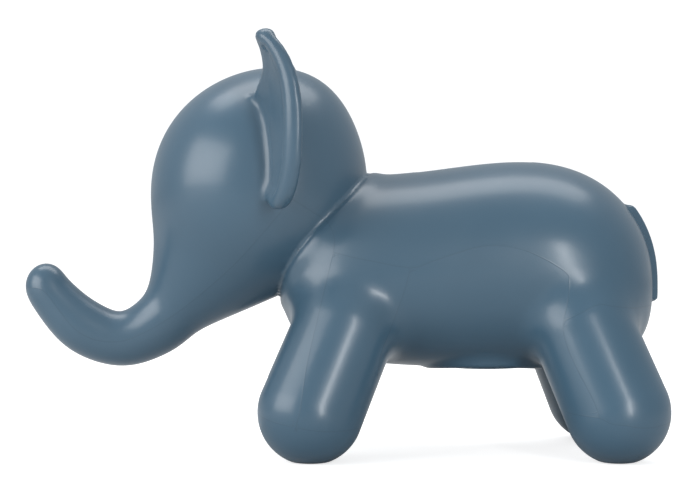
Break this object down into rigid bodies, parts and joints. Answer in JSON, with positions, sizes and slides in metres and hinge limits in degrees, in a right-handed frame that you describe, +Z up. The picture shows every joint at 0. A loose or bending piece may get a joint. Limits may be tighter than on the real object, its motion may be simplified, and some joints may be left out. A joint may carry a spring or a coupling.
{
  "type": "figural animal coin bank",
  "caption": "Hollow elephant coin bank with a slot in its back and a key-turned plug in its belly.",
  "frame": {"origin": "on the floor, below the middle of the elephant's length and width", "axes": "+X from trunk to tail, +Y towards the elephant's right side, +Z up"},
  "size_m": [0.2151, 0.112, 0.1405],
  "materials": {
    "body_plastic": "satin moulded plastic, slate blue",
    "plug_plastic": "satin moulded plastic, darker slate blue",
    "rotor_brass": "turned, slightly dull",
    "plated_steel": "zinc plated"
  },
  "bodies": {
    "elephant": {"elephant_shell": "body_plastic"},
    "plug": {"closure_cap": "plug_plastic", "spring_washer": "plated_steel"},
    "lock": {"lock_rotor": "rotor_brass", "lock_bar": "plated_steel", "retaining_clip": "plated_steel"}
  },
  "joints": [
    {"name": "plug_drop", "type": "slide", "parent": "elephant", "child": "plug", "axis": [0, 0, -1], "range_m": [0, 0.023]},
    {"name": "lock_turn", "type": "hinge", "parent": "plug", "child": "lock", "pos_m": [0.0484, 0, 0.0284], "axis": [0, 0, -1], "range_deg": [0, 90]}
  ]
}
